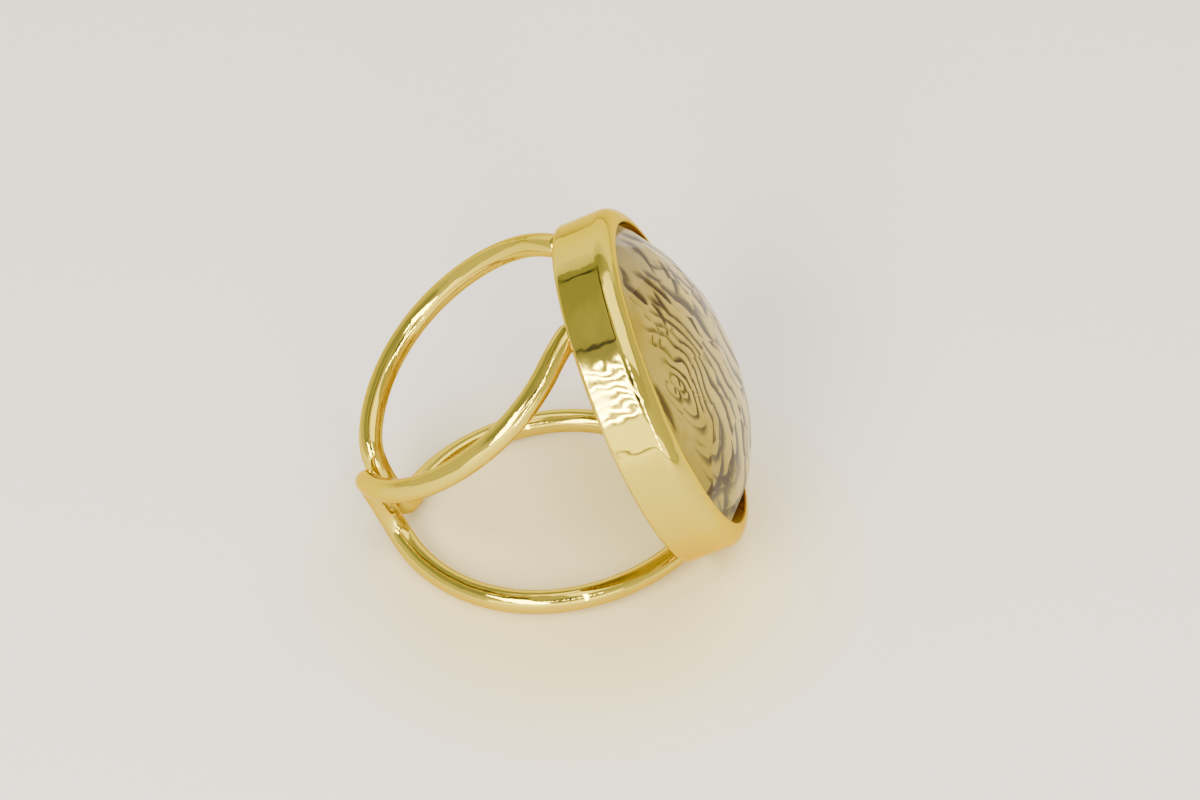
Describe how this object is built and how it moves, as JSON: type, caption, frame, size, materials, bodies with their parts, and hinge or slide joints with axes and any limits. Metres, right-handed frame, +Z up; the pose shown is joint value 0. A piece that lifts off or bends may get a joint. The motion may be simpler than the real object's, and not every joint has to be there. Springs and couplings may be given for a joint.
{
  "type": "finger ring",
  "caption": "Finger ring lying on a table: a round cup with a faceted crystal dome over a shell disc, carried by two bent wire loops.",
  "frame": {"origin": "middle of the bounding box's bottom face, on the table that the ring lies on", "axes": "+Z up from the table, +X towards the side that the stone faces, +Y across the finger"},
  "size_m": [0.0266, 0.024, 0.0233],
  "materials": {
    "gold_plate": "polished",
    "shell": "polished",
    "crystal": "polished"
  },
  "bodies": {
    "root": {"ring_mount": "gold_plate", "shell_disc": "shell", "crystal_dome": "crystal"}
  },
  "joints": []
}
